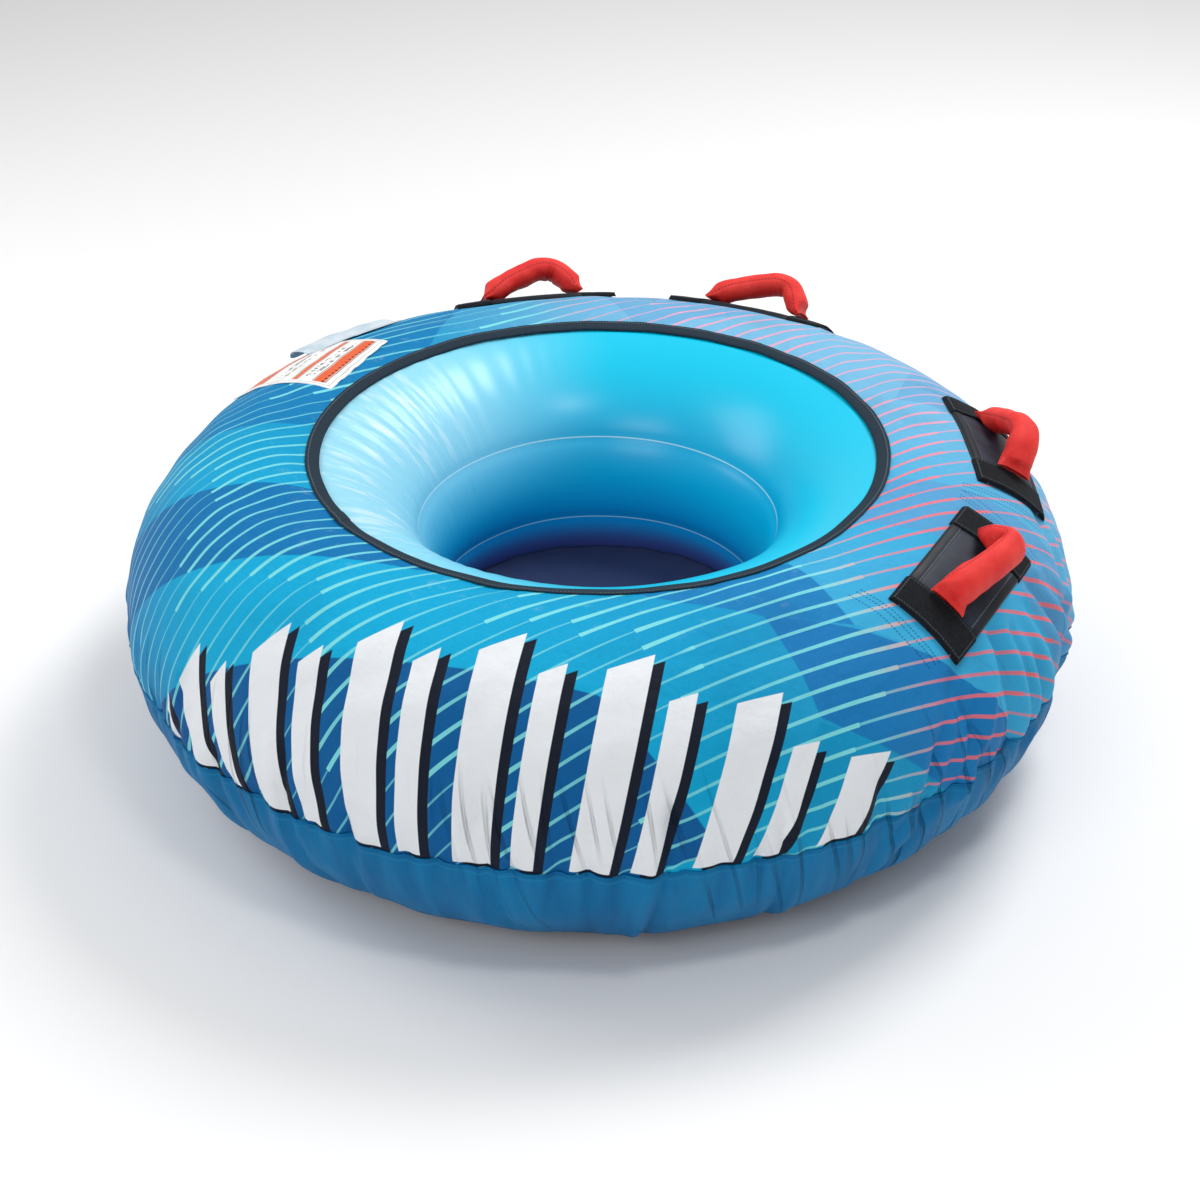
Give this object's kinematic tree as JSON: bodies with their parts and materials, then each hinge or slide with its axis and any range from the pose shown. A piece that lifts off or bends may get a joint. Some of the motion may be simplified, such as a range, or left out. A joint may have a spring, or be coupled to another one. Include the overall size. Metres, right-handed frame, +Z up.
{
  "type": "towable tube",
  "caption": "Round inflatable tow tube: PVC ring bladder in a printed fabric cover with an open well, padded grab handles, tow link, valve flap and zipper.",
  "frame": {"origin": "on the ground under the centre of the ring", "axes": "+Z up, +X towards the boat through the tow point, +Y to the rider's left"},
  "size_m": [1.2512, 1.2512, 0.436],
  "materials": {
    "bladder_pvc": "satin",
    "weld_bead": "satin",
    "printed_fabric": "woven, printed",
    "side_fabric": "woven",
    "base_fabric": "woven",
    "binding_tape": "ribbed",
    "label_film": "matte",
    "pad_neoprene": "smooth",
    "webbing": "woven",
    "grip_fabric": "smooth",
    "grip_foam": "foam",
    "flap_fabric": "coated",
    "valve_plastic": "satin",
    "valve_rubber": "matte",
    "zipper_plastic": "moulded",
    "zipper_metal": "satin",
    "link_metal": "satin"
  },
  "bodies": {
    "tube": {"bladder": "bladder_pvc", "bladder_welds": "weld_bead", "cover_top": "printed_fabric", "cover_side": "side_fabric", "cover_base": "base_fabric", "cover_floor": "base_fabric", "opening_binding": "binding_tape", "side_piping": "side_fabric", "label_patch": "label_film", "pad_front_left": "pad_neoprene", "pad_rear_left": "pad_neoprene", "pad_front_right": "pad_neoprene", "pad_rear_right": "pad_neoprene", "bands_front_left": "webbing", "bands_rear_left": "webbing", "bands_front_right": "webbing", "bands_rear_right": "webbing", "anchors_front_left": "grip_fabric", "anchors_rear_left": "grip_fabric", "anchors_front_right": "grip_fabric", "anchors_rear_right": "grip_fabric", "tow_patch": "webbing", "tow_strap": "webbing", "flap_hem": "flap_fabric", "valve_base": "valve_plastic", "valve_body": "valve_plastic", "valve_diaphragm": "valve_rubber", "zipper_tape": "binding_tape", "zipper_teeth": "zipper_plastic"},
    "handle_front_left": {"core_front_left": "grip_foam", "sleeve_front_left": "grip_fabric", "webbing_front_left": "webbing"},
    "handle_rear_left": {"core_rear_left": "grip_foam", "sleeve_rear_left": "grip_fabric", "webbing_rear_left": "webbing"},
    "handle_front_right": {"core_front_right": "grip_foam", "sleeve_front_right": "grip_fabric", "webbing_front_right": "webbing"},
    "handle_rear_right": {"core_rear_right": "grip_foam", "sleeve_rear_right": "grip_fabric", "webbing_rear_right": "webbing"},
    "tow_link": {"tow_link": "link_metal"},
    "valve_flap": {"valve_flap": "flap_fabric"},
    "valve_cap": {"valve_cap": "valve_plastic"},
    "zipper_slider": {"zipper_slider": "zipper_metal"},
    "zipper_pull": {"zipper_pull": "zipper_metal"}
  },
  "joints": [
    {"name": "handle_front_left_lean", "type": "hinge", "parent": "tube", "child": "handle_front_left", "pos_m": [0.46809, 0.27025, 0.39629], "axis": [-0.5, 0.866, 0], "range_deg": [-66, 39]},
    {"name": "handle_rear_left_lean", "type": "hinge", "parent": "tube", "child": "handle_rear_left", "pos_m": [0.21119, 0.49754, 0.39629], "axis": [-0.9205, 0.3907, 0], "range_deg": [-70, 35]},
    {"name": "handle_front_right_lean", "type": "hinge", "parent": "tube", "child": "handle_front_right", "pos_m": [0.46809, -0.27025, 0.39629], "axis": [0.5, 0.866, 0], "range_deg": [-46, 59]},
    {"name": "handle_rear_right_lean", "type": "hinge", "parent": "tube", "child": "handle_rear_right", "pos_m": [0.21119, -0.49754, 0.39629], "axis": [0.9205, 0.3907, 0], "range_deg": [-88, 17]},
    {"name": "tow_link_swing", "type": "hinge", "parent": "tube", "child": "tow_link", "pos_m": [0.61051, 0, 0.08371], "axis": [0, -1, 0], "range_deg": [-20, 130]},
    {"name": "valve_flap_fold", "type": "hinge", "parent": "tube", "child": "valve_flap", "pos_m": [-0.08906, 0.50509, 0.39022], "axis": [0.9848, 0.1736, 0], "range_deg": [-4, 100]},
    {"name": "valve_cap_turn", "type": "hinge", "parent": "tube", "child": "valve_cap", "pos_m": [-0.09602, 0.54458, 0.36487], "axis": [-0.1116, 0.633, 0.766], "range_deg": [0, 90]},
    {"name": "zipper_run", "type": "hinge", "parent": "tube", "child": "zipper_slider", "pos_m": [0, 0, 0.06], "axis": [0, 0, 1], "range_deg": [0, 74]},
    {"name": "zipper_pull_swing", "type": "hinge", "parent": "zipper_slider", "child": "zipper_pull", "pos_m": [0.27177, 0.51113, 0.05913], "axis": [0.8829, -0.4695, 0], "range_deg": [-25, 100]}
  ]
}
